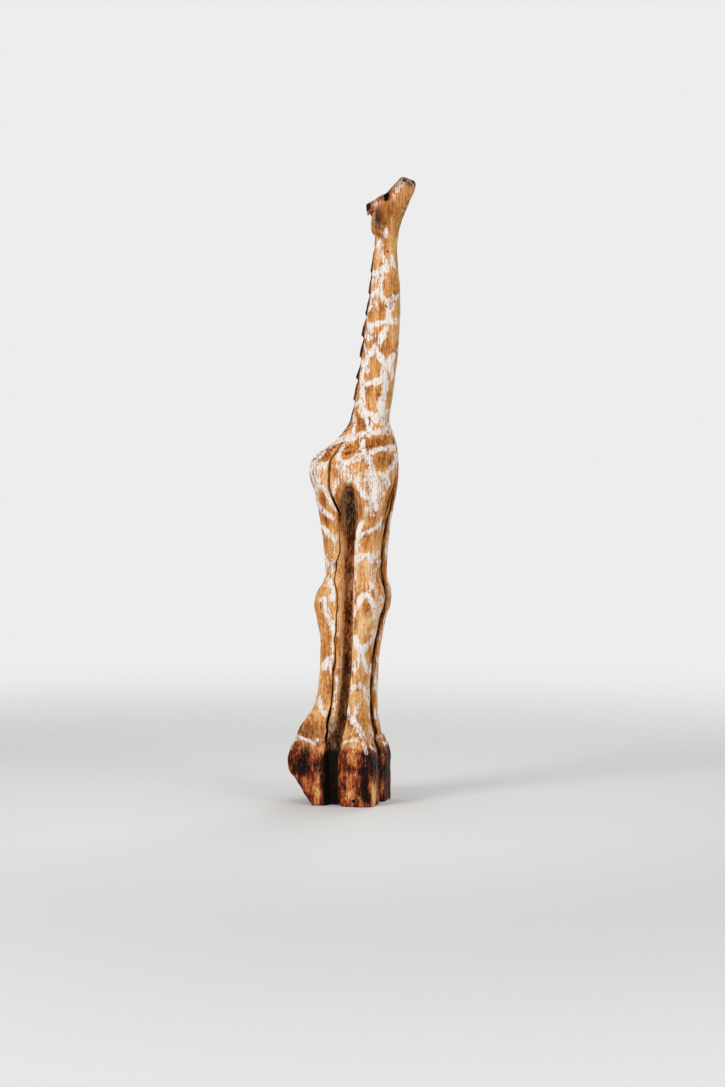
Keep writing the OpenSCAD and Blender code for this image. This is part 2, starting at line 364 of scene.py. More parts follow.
def blade(name, rows):
    """A wedge-shaped closed solid along a row of (place, normal, width, depth) in metres."""
    made = bmesh.new()
    rings = []
    for i, (place, normal, width, depth) in enumerate(rows):
        ahead = rows[min(i + 1, len(rows) - 1)][0] - rows[max(i - 1, 0)][0]
        sideways = normal.cross(ahead).normalized() * width / 2
        top = place + normal * 4 * MM
        corners = (top + sideways * 1.3, top - sideways * 1.3, place - normal * depth)
        rings.append([made.verts.new(c) for c in corners])
    for one, two in zip(rings, rings[1:]):
        for k in range(3):
            made.faces.new((one[k], one[(k + 1) % 3], two[(k + 1) % 3], two[k]))
    made.faces.new(reversed(rings[0]))
    made.faces.new(rings[-1])
    bmesh.ops.triangulate(made, faces=made.faces)
    bmesh.ops.recalc_face_normals(made, faces=made.faces)
    mesh = bpy.data.meshes.new(name)
    made.to_mesh(mesh)
    made.free()
    return new_object(name, mesh)


def check_rows(tree, flank, width, depth, path):
    """Rows for a blade that follows a check: its edges wander, and it closes to nothing at its ends."""
    spots = smooth_path(path, 2.5)
    rows = []
    for i, (across, height) in enumerate(spots):
        where = np.array([[across, height, depth]])
        wander = 1.1 * drift(where, (11, 11, 9), 41)[0]
        open_ = min(1, 0.25 + 4 * min(i, len(spots) - 1 - i) / len(spots))
        open_ *= 1 + 0.3 * drift(where, (20, 14, 9), 43)[0]
        place, normal = on_surface(tree, flank, across + wander, height)
        # A check opens towards the heart of the log, whichever way the gouge cut the surface.
        normal = (normal + 1.5 * FLANKS[flank][1]).normalized()
        rows.append((place, normal, width * MM * open_, depth * MM * min(1, 0.3 + open_)))
    return rows


def ellipsoid(name, centre, radii, tilt=0):
    """A closed ball of the given radii in mm, turned about Y by `tilt` degrees."""
    made = bmesh.new()
    bmesh.ops.create_icosphere(made, subdivisions=3, radius=1)
    mesh = bpy.data.meshes.new(name)
    made.to_mesh(mesh)
    made.free()
    mm = points_of(mesh) * MM * np.array(radii)
    c, s = math.cos(math.radians(tilt)), math.sin(math.radians(tilt))
    turned = np.stack([mm[:, 0] * c + mm[:, 2] * s, mm[:, 1], mm[:, 2] * c - mm[:, 0] * s], axis=-1)
    place_points(mesh, turned + np.array(centre))
    return new_object(name, mesh)


def log_tree(log):
    """A lookup of the log's surface."""
    return BVHTree.FromObject(log, bpy.context.evaluated_depsgraph_get())


# The hollow of the ear and the nostril, cut on both sides: centre (x, y, height), radii, tilt in degrees.
PITS = [
    ((57, 47, 1214), (12, 11, 25), 14),
    ((109, 20, 1291), (3.0, 6, 2.8), 0),
]

# Each eye is a deep slanting notch between the horn and the brow: its (x, height) outline.
EYE = [(78.5, 1274), (66.5, 1257), (69.5, 1250.5), (76, 1250), (78.5, 1257)]


def open_checks(log):
    """Cuts the drying checks, the mouth, the ears, the nostrils and the eyes into the log."""
    tree = log_tree(log)
    sets = [("right", RIGHT_CHECKS), ("left", LEFT_CHECKS), ("back", BACK_CHECKS)]
    sets += [("right", MOUTH), ("left", MOUTH)]
    opened = []
    for flank, checks in sets:
        for width, depth, path in checks:
            rows = check_rows(tree, flank, width, depth, path)
            tool = blade("check", rows)
            cut(log, tool, "DIFFERENCE")
            drop(tool)
            opened += rows
    for ((x, y, z), radii, tilt), side in itertools.product(PITS, (-1, 1)):
        tool = ellipsoid("pit", (x, y * side, z), radii, tilt)
        cut(log, tool, "DIFFERENCE")
        drop(tool)
    for side in (-1, 1):
        tool = prism("eye", EYE, 15 * side, 60 * side)
        cut(log, tool, "DIFFERENCE")
        drop(tool)
    return opened


# ---------------------------------------------------------------- splitting the log into the carver's masses


def solid_from(name, corners, faces):
    """A closed solid with the given corners, in mm."""
    made = bmesh.new()
    verts = [made.verts.new(Vector(c) * MM) for c in corners]
    for face in faces:
        made.faces.new([verts[i] for i in face])
    bmesh.ops.recalc_face_normals(made, faces=made.faces)
    mesh = bpy.data.meshes.new(name)
    made.to_mesh(mesh)
    made.free()
    return new_object(name, mesh)


def prism(name, outline, y0, y1):
    """A solid with the given (x, z) outline, from y0 to y1."""
    n = len(outline)
    corners = [(x, y, z) for y in (y0, y1) for x, z in outline]
    sides = [(i, (i + 1) % n, (i + 1) % n + n, i + n) for i in range(n)]
    return solid_from(name, corners, [*sides, tuple(range(n)), tuple(range(n, 2 * n))])


def slab(low, high):
    """All of the log between two heights."""
    return prism("slab", [(-400, low), (400, low), (400, high), (-400, high)], -400, 400)


def quarter(leg, low, high):
    """The part of the log that belongs to one leg, divided down the middle of the groove."""
    inner = [(groove_at(z), z) for z in (low, *(g for g in GROOVE_Z if low < g < high), high)]
    outer = 400 if leg.startswith("front") else -400
    y = -400 if leg.endswith("right") else 400
    return prism("quarter", [*inner, (outer, high), (outer, low)], 0, y)


def grown(node, by):
    """A CAD solid made thicker all over, to cut out the skin that was carved over it."""
    made = bmesh.new()
    if node == "mane":
        # Its teeth touch at single edges, so they are fused before they grow.
        solid = new_object("teeth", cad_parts[node].data.copy())
        with_modifier(solid, "REMESH", mode="VOXEL", voxel_size=1.5 * MM)
        made.from_mesh(solid.data)
        drop(solid)
    else:
        made.from_mesh(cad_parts[node].data)
    bmesh.ops.remove_doubles(made, verts=made.verts, dist=0.02 * MM)
    bmesh.ops.recalc_face_normals(made, faces=made.faces)
    made.normal_update()
    moves = [v.normal * v.calc_shell_factor() * by * MM for v in made.verts]
    for v, move in zip(made.verts, moves):
        v.co += move
    mesh = bpy.data.meshes.new(node)
    made.to_mesh(mesh)
    made.free()
    return new_object(node + "_cell", mesh)


def without_crumbs(piece):
    """Drops loose slivers that a cut leaves beside a piece."""
    made = bmesh.new()
    made.from_mesh(piece.data)
    left = set(made.verts)
    islands = []
    while left:
        island, edge = set(), [left.pop()]
        while edge:
            v = edge.pop()
            island.add(v)
            for e in v.link_edges:
                other = e.other_vert(v)
                if other in left:
                    left.discard(other)
                    edge.append(other)
        islands.append(island)
    biggest = max(islands, key=len)
    crumbs = [v for island in islands if island is not biggest for v in island]
    bmesh.ops.delete(made, geom=crumbs, context="VERTS")
    made.to_mesh(piece.data)
    made.free()
    return piece


def split(log):
    """Splits the log into the same pieces as the CAD model, all closed."""
    pieces = {}
    cells = {n: grown(n, by) for n, by in GROWTH.items()}
    reaches = {"leg_web": slab(-20, BELLY)}
    reaches["right_horn"] = prism("brow", [(-99, 1150), (73, 1150), (73, 1400), (-99, 1400)], -99, 99)
    reaches["left_horn"] = copy_of(reaches["right_horn"], "brow")
    for name, reach in reaches.items():
        cut(cells[name], reach, "INTERSECT")
    drop(*reaches.values())
    for name, cell in cells.items():
        pieces[name] = cut(copy_of(log, name), cell, "INTERSECT")
    # Where two small pieces meet, the first one keeps the wood.
    for one, two in OVERLAPS:
        cut(pieces[two], cells[one], "DIFFERENCE")
    zones = {"torso": slab(BELLY, NECK_FOOT), "neck": slab(NECK_FOOT, NECK_TOP)}
    zones["head"] = slab(NECK_TOP, TOP + 100)
    for leg in LEGS:
        zones[leg + "_leg"] = quarter(leg, HOOF_TOP, BELLY)
        zones[leg + "_hoof"] = quarter(leg, -20, HOOF_TOP)
    for name, zone in zones.items():
        pieces[name] = cut(copy_of(log, name), zone, "INTERSECT")
        for cell in CUT_FROM.get(name.split("_")[-1], ()):
            cut(pieces[name], cells[cell], "DIFFERENCE")
    drop(log, *cells.values(), *zones.values())
    return {name: without_crumbs(piece) for name, piece in pieces.items()}


# How far the carved skin can lie outside each of these CAD solids, in mm.
GROWTH = {"mane": 3.0, "tail": 1.6, "leg_web": 1.6}
GROWTH |= {"right_horn": 1.4, "left_horn": 1.4, "right_ear": 1.4, "left_ear": 1.4}
# Pairs that touch: the first keeps the wood.
OVERLAPS = [("right_ear", "right_horn"), ("left_ear", "left_horn"), ("right_horn", "left_horn")]
OVERLAPS += [("right_ear", "mane"), ("left_ear", "mane"), ("leg_web", "tail")]
OVERLAPS += [("right_horn", "mane"), ("left_horn", "mane")]
# The pieces that are let into each of the masses.
CUT_FROM = {
    "head": ("right_horn", "left_horn", "right_ear", "left_ear", "mane"),
    "neck": ("mane", "right_ear", "left_ear"),
    "torso": ("mane", "tail"),
    "leg": ("leg_web", "tail"),
    "hoof": ("leg_web",),
}


# ---------------------------------------------------------------- whitewash brush strokes

# Each stroke: width, then the (across, height) points that the brush went through on the right flank.
RIGHT_STROKES = [
    # head and neck
    (10, (53, 1168), (50, 1155)),
    (11, (54, 1148), (61, 1127), (69, 1107)),
    (11, (36, 1102), (53, 1097)),
    (11, (64, 1115), (54, 1107), (56, 1091)),
    (12, (58, 1112), (53, 1091), (53, 1067)),
    (11, (53, 1067), (32, 1055)),
    (12, (53, 1067), (60, 1047), (78, 1030)),
    (13, (77, 1134), (82, 1118)),
    (14, (90, 1055), (74, 1043), (80, 1035)),
    (14, (70, 1031), (70, 1008)),
    (13, (37, 993), (60, 1000), (87, 1002)),
    (6, (26, 1012), (30, 985), (42, 972)),
    (9, (25, 980), (18, 966)),
    (14, (66, 989), (55, 966), (42, 942)),
    (7, (30, 998), (44, 970)),
    (7, (20, 955), (25, 934)),
    (13, (28, 932), (42, 940), (54, 926), (69, 904)),
    (15, (26, 929), (17, 905), (13, 886), (21, 868)),
    (14, (82, 932), (69, 916), (61, 900), (58, 882)),
    (13, (24, 872), (53, 880), (63, 886)),
    (15, (18, 866), (16, 840), (12, 820)),
    (15, (66, 876), (61, 853), (55, 827), (59, 813)),
    (12, (77, 921), (78, 886)),
    (13, (24, 816), (40, 804)),
    (13, (67, 816), (50, 807)),
    # shoulders, back and belly
    (14, (12, 839), (16, 822), (23, 804), (31, 787), (30, 770)),
    (13, (68, 816), (45, 799)),
    (11, (-3, 808), (0, 787), (-8, 763)),
    (11, (-50, 742), (-33, 754), (-5, 760), (16, 768), (36, 772), (71, 779)),
    (12, (26, 728), (47, 737), (83, 741)),
    (12, (16, 756), (19, 735), (28, 718), (36, 690)),
    (10, (-17, 753), (-33, 727), (-26, 708), (-15, 684), (-12, 673)),
    (13, (19, 728), (-5, 715), (-26, 708)),
    (11, (-60, 735), (-79, 715), (-91, 706)),
    (12, (-50, 711), (-67, 704), (-86, 709)),
    (13, (-69, 709), (-76, 684), (-71, 663)),
    (8, (-84, 706), (-83, 684)),
    (13, (-72, 668), (-53, 640), (-39, 616)),
    (11, (-79, 658), (-77, 632), (-67, 613), (-45, 597)),
    (11, (12, 687), (7, 673), (12, 652), (35, 632)),
    (15, (38, 687), (42, 663), (42, 635), (42, 616)),
    (15, (50, 689), (64, 680), (68, 666)),
    (11, (88, 718), (76, 701), (68, 689)),
    (8, (-39, 666), (-43, 640)),
    (8, (-36, 704), (-33, 696)),
    # upper legs
    (13, (9, 558), (28, 568), (44, 576), (55, 592)),
    (10, (17, 589), (9, 573), (6, 549), (4, 530)),
    (15, (0, 510), (19, 519), (38, 513), (47, 522)),
    (11, (-68, 577), (-55, 565), (-44, 554)),
    (9, (76, 597), (73, 573)),
    (10, (68, 542), (65, 507)),
    # knees
    (13, (2, 409), (13, 432), (23, 438), (35, 427), (41, 409)),
    (11, (44, 405), (40, 387)),
    (12, (-57, 475), (-50, 460), (-45, 443), (-45, 427)),
    (17, (-66, 428), (-60, 412), (-51, 387), (-42, 361)),
    (7, (-42, 373), (-35, 351)),
    (9, (-47, 510), (-47, 485)),
    (11, (60, 453), (64, 437), (60, 402), (58, 381)),
    # shins
    (13, (-1, 351), (7, 331), (13, 316), (4, 297), (-4, 282)),
    (11, (13, 316), (22, 297), (26, 278)),
    (13, (40, 348), (28, 334), (16, 322)),
    (12, (-10, 244), (13, 249), (20, 239)),
    (13, (-14, 220), (-13, 192), (-4, 177), (9, 161), (22, 144)),
    (12, (6, 206), (-1, 185)),
    (14, (-47, 307), (-57, 297), (-64, 288)),
    (12, (-51, 293), (-48, 278)),
    (10, (-73, 221), (-69, 199), (-61, 189)),
    (5, (-36, 287), (-28, 287)),
    (5, (-39, 280), (-36, 258)),
    (8, (51, 351), (53, 341)),
    (7, (47, 287), (44, 269), (44, 243)),
    (8, (44, 193), (41, 171)),
    (3, (40, 272), (34, 228)),
    # the lines round the top of the hooves
    (5, (-26, 129), (-14, 136), (3, 139), (17, 132), (24, 120)),
    (5, (-117, 142), (-100, 137), (-83, 129)),
    (4, (-79, 137), (-64, 137)),
    (3, (-123, 142), (-131, 117)),
    (8, (-2, 168), (16, 144), (24, 113)),
    (8, (33, 123), (43, 115)),
    (8, (42, 191), (42, 174)),
    (7, (59, 123), (66, 117)),
]

# Where the brush was nearly dry, and the wood shows through.
RIGHT_FAINT = [
    (3, (42, 1240), (42, 1231)),
    (11, (66, 1190), (60, 1175), (51, 1155)),
    (6, (33, 1051), (37, 1025)),
    (12, (40, 777), (76, 773)),
    (16, (62, 800), (84, 790)),
    (15, (-43, 665), (-22, 680), (4, 676)),
    (16, (-34, 690), (-8, 694)),
    (14, (-92, 690), (-88, 660)),
    (20, (28, 690), (30, 650), (36, 610)),
    (18, (54, 670), (50, 630)),
    (8, (-40, 558), (-39, 526)),
    (9, (-56, 520), (-58, 480)),
    (10, (0, 520), (-1, 490), (2, 446), (0, 409), (-4, 373), (-3, 343)),
    (16, (44, 489), (38, 472), (32, 453)),
    (16, (46, 450), (50, 410), (44, 370)),
    (11, (34, 258), (31, 236), (16, 221), (6, 206)),
    (6, (-45, 360), (-45, 323)),
    (8, (-38, 250), (-40, 215), (-44, 185)),
    (7, (-22, 330), (-24, 280), (-26, 240)),
    (10, (-2, 290), (-8, 262), (-8, 232)),
    (16, (30, 160), (40, 128)),
]

# Where the brush barely touched.
RIGHT_TOUCHES = [
    (7, (76, 1250), (82, 1262), (88, 1272)),
    (6, (90, 1268), (96, 1280), (102, 1288)),
    (4, (36, 1237), (46, 1243), (58, 1252)),
    (12, (28, 1060), (24, 1020)),
    (12, (-44, 205), (-52, 168)),
]

# On the chest, the throat and the front of the legs: (y, height), with y running to the giraffe's left.
FRONT_STROKES = [
    (11, (-2, 1106), (10, 1098), (24, 1112)),
    (11, (8, 1098), (4, 1066), (14, 1046)),
    (12, (-4, 1012), (10, 1004), (28, 1014)),
    (11, (8, 1004), (4, 976), (12, 950)),
    (13, (-4, 944), (12, 950), (30, 938)),
    (12, (10, 900), (4, 886), (28, 880)),
    (12, (6, 884), (12, 846), (4, 818)),
    (13, (4, 818), (18, 822), (34, 808)),
    (13, (-4, 782), (10, 766), (44, 770)),
    (12, (12, 764), (8, 724), (-4, 704)),
    (12, (8, 726), (34, 708), (58, 716)),
    (13, (34, 708), (42, 672), (26, 646)),
]
# Hoops down the inner half of each front leg. The right leg's are painted a little lower than the left's.
for y0, y1, lower in ((12, 44, 0), (-40, -12, 18)):
    middle = (y0 + y1) / 2
    for top in (604, 528, 452, 380, 306, 240):
        FRONT_STROKES.append((11, (y0, top - lower), (middle, top - 12 - lower), (y1, top - lower)))
    FRONT_STROKES.append((5, (y0, 134), (middle, 139), (y1, 132)))

# Down both sides of the mane, over the rump and down the back of the hind legs.
BACK_STROKES = [
    (10, (-24, 1090), (-12, 1078)),
    (10, (12, 1112), (24, 1098)),
    (11, (-26, 1036), (-12, 1022)),
    (11, (12, 1046), (26, 1030)),
    (11, (-28, 966), (-12, 978)),
    (11, (12, 972), (28, 958)),
    (12, (-30, 900), (-13, 912)),
    (12, (13, 902), (30, 888)),
    (12, (-38, 836), (-13, 826)),
    (12, (13, 834), (38, 846)),
    (12, (-50, 770), (-26, 758), (0, 766), (26, 756), (50, 768)),
    (12, (-26, 758), (-32, 728), (-18, 704)),
    (12, (26, 756), (34, 724), (22, 700)),
    (13, (-60, 708), (-40, 696), (-18, 704)),
    (13, (22, 700), (42, 690), (62, 700)),
    (12, (-40, 696), (-46, 664), (-34, 640)),
    (12, (42, 690), (38, 660), (50, 632)),
]
for side in (-1, 1):
    # The left leg's strokes sit a little higher, and lean the other way in places.
    lift, lean = (0, 8) if side < 0 else (14, -6)
    for z, near, far in (
        (616, 30, 12), (548, 14, 38), (470, 34, 8), (398, 10, 34), (326, 30, 12), (262, 12, 32),
    ):
        top = z + lift
        BACK_STROKES += [
            (12, (14 * side, top + near - 20), (30 * side, top), (44 * side, top + lean)),
            (11, (30 * side, top), ((22 + far / 2) * side, top - 26), ((12 + far) * side, top - 50)),
        ]
    BACK_STROKES += [
        (10, (16 * side, 190 + lift), (30 * side, 206), (44 * side, 188)),
        (5, (20 * side, 138), (40 * side, 142), (62 * side, 135)),
    ]


def on_left(point):
    """The left flank was painted to match the right by eye, so nothing falls in quite the same place."""
    u, z = point
    return u + 4 * math.sin(z / 37), z + 9 * math.sin(z / 61 + 1) + 4


def stroke_marks(tree):
    """Lookup of points along every brush stroke, with the brush's half width and load at each."""
    flanks = {("right", 1.0): RIGHT_STROKES, ("right", 0.48): RIGHT_FAINT, ("right", 0.36): RIGHT_TOUCHES}
    for (_, load), strokes in list(flanks.items()):
        flanks["left", load] = [(w, *map(on_left, path)) for w, *path in strokes]
    flanks |= {("front", 0.9): FRONT_STROKES, ("back", 0.9): BACK_STROKES}
    marks, reach, loads = [], [], []
    for (flank, load), strokes in flanks.items():
        for width, *path in strokes:
            spots = smooth_path(path, 2)
            for i, (across, height) in enumerate(spots):
                place, _ = on_surface(tree, flank, across, height)
                marks.append(place)
                where = np.array([[across, height, width * 9.0]])
                sway, wetness = (drift(where, (size,) * 3, 51)[0] for size in (9, 30))
                # The brush lands narrow, spreads, and runs dry towards the end of its stroke.
                along = i / len(spots)
                lands = min(1, 0.7 + 0.1 * i)
                reach.append((width / 2 + 0.4) * (1 + 0.3 * sway) * lands)
                loads.append(load * (1 + 0.25 * wetness - 0.6 * max(0, along - 0.6)))
    lookup = KDTree(len(marks))
    for i, place in enumerate(marks):
        lookup.insert(place, i)
    lookup.balance()
    return lookup, reach, loads


def check_marks(rows):
    """Lookup of points on the surface and inside each drying check, with the check's width at each."""
    lookup, widths = KDTree(4 * len(rows)), []
    for (place, normal, width, depth), t in itertools.product(rows, (0, 0.3, 0.6, 0.9)):
        lookup.insert(place - normal * t * depth, len(widths))
        widths.append(width)
    lookup.balance()
    return lookup, widths


def set_layer(mesh, name, values):
    """Stores a number at each point for the materials to read."""
    layer = mesh.attributes.new(name, "FLOAT", "POINT")
    layer.data.foreach_set("value", np.asarray(values, np.float32))


# Where the timber is darker (below 0) or paler (above 0) on both flanks, with one patch of painted shade:
# (across, height, half width, half height, amount).
TONES = [
    # end grain on the shoulders, chest and rump drank more stain
    (54, 750, 28, 14, -1.2),
    (-9, 735, 26, 14, -1.0),
    (58, 714, 26, 18, -0.9),
    (15, 789, 9, 15, -0.8),
    (-61, 731, 18, 14, -0.9),
    (-65, 640, 11, 18, -0.9),
    (-60, 590, 10, 17, -0.7),
    (-54, 534, 10, 20, -0.6),
    (-56, 323, 11, 32, -0.3),
    (-88, 162, 32, 18, -1.2),
    (-84, 400, 7, 30, -1.3),
    (-90, 690, 7, 40, -0.7),
    (24, 405, 16, 9, -0.35),
    (75, 1093, 9, 30, -0.3),
    (62, 1170, 12, 22, -0.2),
    (42, 1126, 8, 20, 0.3),
    (16, 360, 18, 24, 0.35),
    (62, 640, 8, 34, 0.4),
    (88, 1226, 10, 20, 0.2),
    (98, 1297, 11, 5, -1.0),
    (84, 1238, 28, 36, -0.5),
    (50, 1212, 20, 36, -0.7),
    # beside the check on the chest: painted shade, for the check's deep shadow
    (74, 650, 7, 34, -0.7),
    # charred and spared patches on the hooves
    (-102, 112, 8, 13, -1.2),
    (-71, 83, 14, 15, -0.9),
    (-112, 72, 15, 16, -0.8),
    (-68, 118, 13, 9, 0.5),
    (-84, 30, 20, 16, 0.6),
    (-12, 62, 17, 48, 0.55),
    (-8, 124, 20, 14, 0.5),
    (34, 92, 14, 24, -1.0),
    (22, 30, 8, 22, -1.0),
    (40, 30, 6, 26, 1.6),
    (64, 60, 13, 66, -0.7),
]

# Burnt or painted black on both sides: (x, distance from the middle, height), radii.
SOOT = [
    ((73, 18, 1260), (8, 13, 16)),
    ((31, 14, 1239), (9, 40, 10)),
    ((109, 19, 1291), (3.6, 6, 3.6)),
    ((75, 24, 1145), (3, 6, 3)),
    ((16, 78, 13), (4.4, 12, 4)),
]

# Where rain and handling turned bare wood grey: (x, distance from the middle, height), radii.
SILVER = [
    ((122, 10, 1290), (17, 40, 15)),
    ((96, 14, 1284), (16, 30, 12)),
    ((57, 38, 1214), (11, 12, 26)),
    ((-34, 60, 500), (9, 30, 10)),
    ((-30, 60, 158), (16, 40, 26)),
]

# The hollows of the ears are flecked with black.
EAR_FLECKS = [((57, 38, 1216), (9, 14, 20))]


def tone_of(mm):
    """How much darker or paler the timber is at each point, with one patch of painted shade beside the chest
    check. The left flank is like the right, but shifted.
    """
    x, y, z = mm.T
    u = x * ACROSS.x - np.abs(y) * ACROSS.y
    left = y > 0
    u, z = u + left * 7 * np.sin(z / 47), z + left * 12 * np.sin(z / 71)
    total = 0
    for across, height, half_width, half_height, amount in TONES:
        total = total + amount * mound(u, z, (across, height), (half_width, half_height))
    return total


def within(mm, places):
    """1 inside the balls listed, on both sides of the giraffe, fading to 0 half a radius outside them."""
    folded = mm * (1, 0, 1) + np.abs(mm) * (0, 1, 0)
    found = np.zeros(len(mm))
    for centre, radii in places:
        found = np.maximum(found, 1.5 - np.linalg.norm((folded - centre) / radii, axis=1))
    return np.clip(found, 0, 1)


def brushed(mm, strokes):
    """How far each point lies inside the nearest brush stroke, in mm, and how loaded the brush was there."""
    lookup, reach, loads = strokes
    inside, load = [], []
    for place in (mm * MM).tolist():
        near = lookup.find_n(place, 3)
        best = max(near, key=lambda mark: reach[mark[1]] * MM - mark[2])
        inside.append(reach[best[1]] - best[2] / MM)
        load.append(loads[best[1]])
    return np.array(inside), load


def beyond_checks(mm, cracks):
    """How far each point lies outside the nearest drying check, in mm."""
    lookup, widths = cracks
    found = []
    for place in (mm * MM).tolist():
        _, i, far = lookup.find(place)
        found.append((far - 0.5 * widths[i]) / MM)
    return np.array(found)


def paint_layers(piece, strokes, cracks):
    """Where each finish lies on a piece, stored at its points."""
    mesh = piece.data
    mm = points_of(mesh)
    x, y, z = mm.T
    inside, load = brushed(mm, strokes)
    dry = beyond_checks(mm, cracks)
    # The floors of the grooves were never painted. Between the hooves they are nearly black.
    off_groove = np.abs(x - groove_at(z))
    hoof_gap = 1 - ease(z, 125, 165)
    in_groove = ease(side_at(z) - np.abs(y), 2, 9) * (1 - ease(z, 660, 700))
    off_core = np.abs(x - groove_at(z) + 3 + 4 * hoof_gap)
    core = in_groove * (1 - ease(off_core, 8 + 4 * hoof_gap, 13 + 4 * hoof_gap))
    slot_depth = np.minimum(front_at(z) - x, x - back_at(z))
    in_slot = (1 - ease(np.abs(y), 9, 13)) * (1 - ease(z, 650, 668))
    slot = ease(slot_depth, 4, 10) * in_slot
    # The hollow at the top of the groove is dark too, and its middle is the darkest.
    on_flank = np.abs(y) > 30
    belly = mound(x, z, (-2, 622), (26, 52)) * on_flank
    deepest = mound(x, z, (3, 590), (9, 46)) * on_flank
    soot = np.maximum(within(mm, SOOT), core * (1 - ease(z, 98, 134)))
    soot = np.maximum(soot, 0.52 * within(mm, EAR_FLECKS))
    # The mane and the tail were stained, and never whitewashed.
    stained = np.full(len(mm), float(piece.name.startswith(("mane", "tail"))))
    bare = np.maximum.reduce([stained, core, slot, soot, 1 - ease(dry, 0, 2), ease(belly, 0.5, 0.85)])
    inside = inside - 14 * bare
    # The wall of the groove towards the hind leg is paler, and the wall towards the front leg is darker.
    wall = in_groove * ease(off_groove, 9, 14) * (off_groove < 26) * (1 - hoof_gap)
    # The edges of the slot between the left and right legs are made darker: painted shade.
    tone = tone_of(mm) + wall * np.where(x < groove_at(z), 1.0, -0.2) - 0.5 * ease(slot_depth, 1, 4) * in_slot
    # The legs are made paler between about 190 and 560 mm up.
    tone = tone + 0.25 * (1 - ease(z, 520, 600)) * ease(z, 170, 210)
    ridge = gouge_cuts(mm, BODY_SCOOP, 11)
    set_layer(mesh, "brush", np.clip(inside, -15, 15))
    set_layer(mesh, "load", load)
    set_layer(mesh, "check", np.clip(dry, -3, 20))
    # Hands and stain left the head and the edges of the hollow dirty.
    dirty = 0.45 * mound(x, z, (-15, 600), (10, 55)) + 0.46 * ease(z, 1160, 1190)
    dirty = dirty + 0.42 * mound(x, z, (27, 628), (7, 58))
    # This layer is stain in the grooves and the belly hollow, and painted shade in the slot between the left
    # and right legs.
    set_layer(mesh, "stain", np.clip(core + slot + 0.6 * belly + 0.4 * wall + dirty, 0, 1))
    # Dark in the belly hollow, on the groove floors and on the bridge of the nose, where the wood is stained;
    # in the slot between the left and right legs the dark is painted shade, darker deeper in.
    stain_and_painted_shade = 0.8 * belly + 0.5 * deepest + ease(slot_depth, 6, 12) * in_slot
    stain_and_painted_shade = stain_and_painted_shade + core * (0.3 + 0.45 * (1 - ease(z, 290, 380)) + 0.4 * hoof_gap)
    # The bridge of the nose is dark.
    normals = normals_of(mesh)
    nose = ease(normals @ (-0.7, 0, 0.7), 0.5, 0.8) * (z > 1262) * (x > 76)
    stain_and_painted_shade = stain_and_painted_shade + 0.75 * nose
    set_layer(mesh, "hollow", np.clip(stain_and_painted_shade, 0, 1.4))
    # The hooves are charred up to an uneven line, and the hind fetlocks were singed as well.
    singed = 0.5 * (1 - ease(z, 150, 186)) * (x < groove_at(z))
    charred = 1 - ease(z + 16 * drift(mm, (26, 26, 34), 61), 86, 164)
    set_layer(mesh, "char", np.maximum(singed, charred))
    set_layer(mesh, "silver", within(mm, SILVER) * (1 - core))
    set_layer(mesh, "tone", np.clip(tone + 0.3 * (ridge - 0.5), -1.5, 1.5))
    set_layer(mesh, "soot", soot)
    # Surfaces that face forward are painted paler yellow: painted light, for the way the light falls on them.
    set_layer(mesh, "sunned", ease(normals[:, 0], 0.45, 0.9) * (1 - 0.8 * in_groove))
    set_layer(mesh, "end_grain", ease(np.abs(normals[:, 2]), 0.2, 0.6))


# ---------------------------------------------------------------- finishes


def srgb(code):
    """A colour from its sRGB hex code, in the linear values that Blender wants."""
    parts = [int(code[i : i + 2], 16) / 255 for i in (0, 2, 4)]
    return (*(c / 12.92 if c <= 0.04045 else ((c + 0.055) / 1.055) ** 2.4 for c in parts), 1)


def add(tree, kind, inputs=(), out=0, stops=(), **settings):
    """Adds a node with its settings and links, and gives one of its outputs.

    An input is a value, an output to link, or a list of (amount, factor) pairs that are added up first.
    Stops are the places and colours along a ramp.
    """
    made = tree.nodes.new("ShaderNode" + kind)
    for name, value in settings.items():
        setattr(made, name, value)
    for name, value in dict(inputs).items():
        if isinstance(value, list):
            total = 0.0
            for amount, factor in value:
                total = add(tree, "Math", {0: amount, 1: factor, 2: total}, operation="MULTIPLY_ADD")
            value = total
        if isinstance(value, bpy.types.NodeSocket):
            tree.links.new(value, made.inputs[name])
        else:
            made.inputs[name].default_value = value
    for _ in stops[2:]:
        made.color_ramp.elements.new(0.5)
    for i, (at, code) in enumerate(stops):
        made.color_ramp.elements[i].position = at
        made.color_ramp.elements[i].color = srgb(code)
    return made.outputs[out]


# The figure of the wood, each an unevenness about 0: (size across the log and along it in mm, detail).
# Fibres are drawn 3 mm wide, far coarser than they are, so that they show.
FIGURE = {
    "fibre": (3, 55, 4.0),
    "cord": (9, 110, 3.0),
    "fleck": (3.2, 7, 2.0),
    "dapple": (16, 30, 3.0),
    "blotch": (45, 70, 3.0),
    "streak": (9, 60, 4.0),
    "patch": (26, 36, 3.0),
}
# What paint_layers stored at each point.
LAYERS = (
    "brush", "load", "check", "stain", "hollow", "char", "tone", "soot", "silver", "sunned", "end_grain",
)


